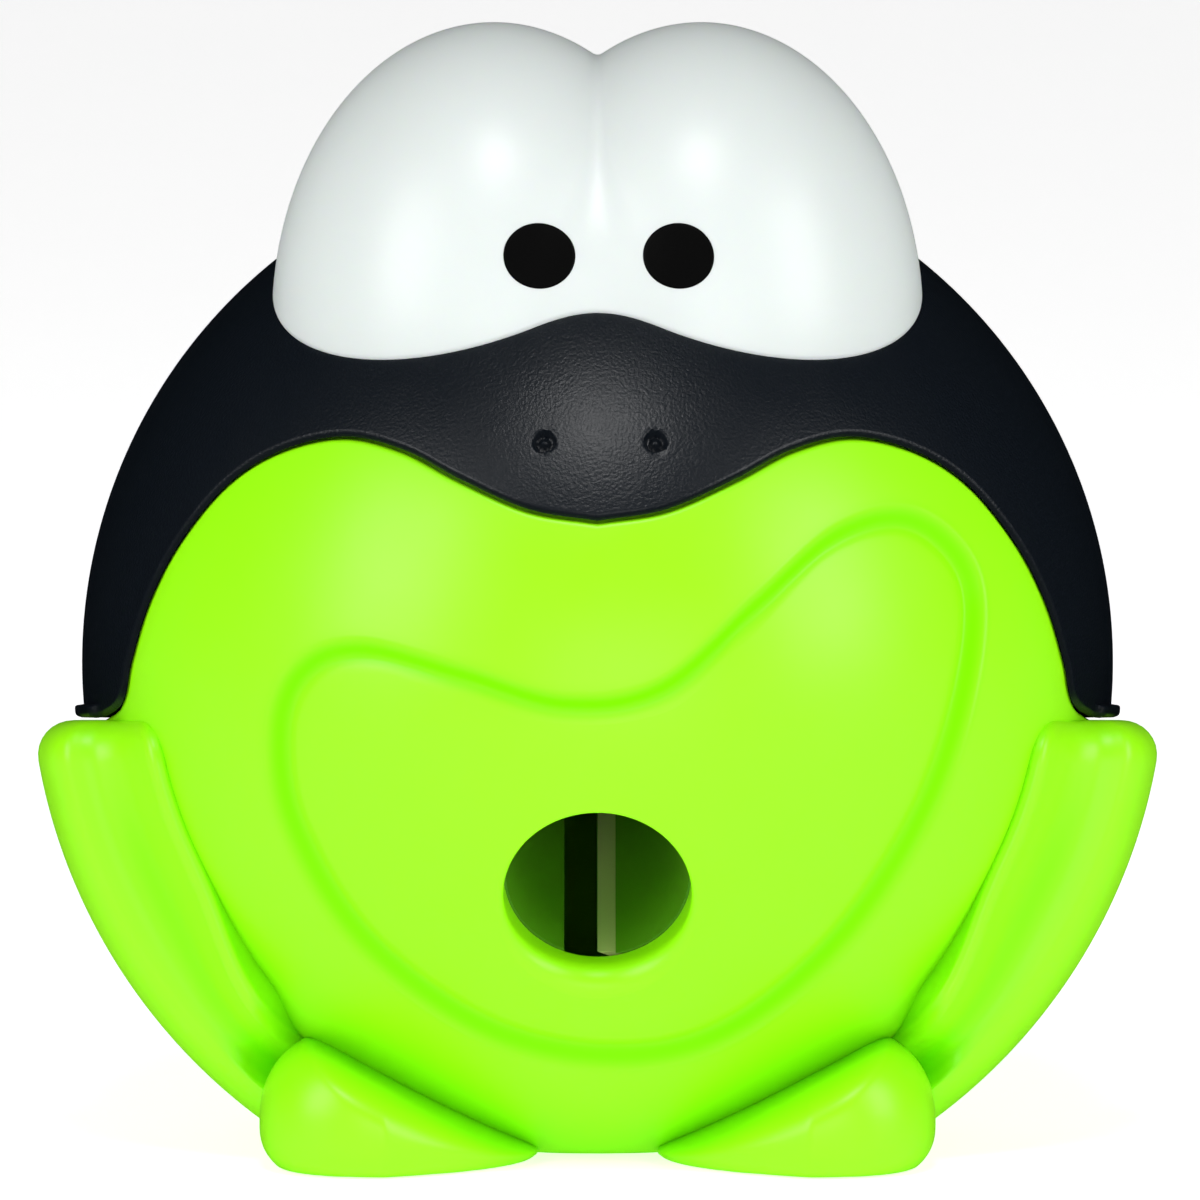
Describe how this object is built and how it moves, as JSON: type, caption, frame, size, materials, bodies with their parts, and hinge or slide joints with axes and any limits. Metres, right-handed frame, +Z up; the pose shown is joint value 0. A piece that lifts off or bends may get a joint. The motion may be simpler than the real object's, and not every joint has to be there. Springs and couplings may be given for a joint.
{
  "type": "desk pencil sharpener with shavings tub",
  "caption": "Ball-shaped cartoon frog pencil sharpener: pencil hole in the open mouth, a shavings tub below and a hood with eyes that lifts on a rear hinge.",
  "frame": {"origin": "on the table, under the middle of the ball", "axes": "+Z up, the face looks along -Y, the left-right plane of the body is X = 0"},
  "size_m": [0.055, 0.0543, 0.0547],
  "materials": {
    "body_green": "glossy lime green moulded plastic",
    "block_green": "satin lime green moulded plastic",
    "hood_black": "satin black plastic with a fine grain",
    "eye_white": "glossy white plastic",
    "pupil_black": "matt black plastic",
    "blade_steel": "ground steel with a thin oil film",
    "screw_steel": "plain zinc plated steel"
  },
  "bodies": {
    "base": {"front_shell": "body_green", "back_shell": "body_green", "sharpener_block": "block_green", "blade": "blade_steel", "blade_screw": "screw_steel", "hinge_pin": "screw_steel"},
    "head": {"hood": "hood_black", "eye_shell": "eye_white", "pupil_left": "pupil_black", "pupil_right": "pupil_black"}
  },
  "joints": [
    {"name": "head_hinge", "type": "hinge", "parent": "base", "child": "head", "pos_m": [0, 0.02637, 0.01694], "axis": [-1, 0, 0], "range_deg": [0, 100]}
  ]
}
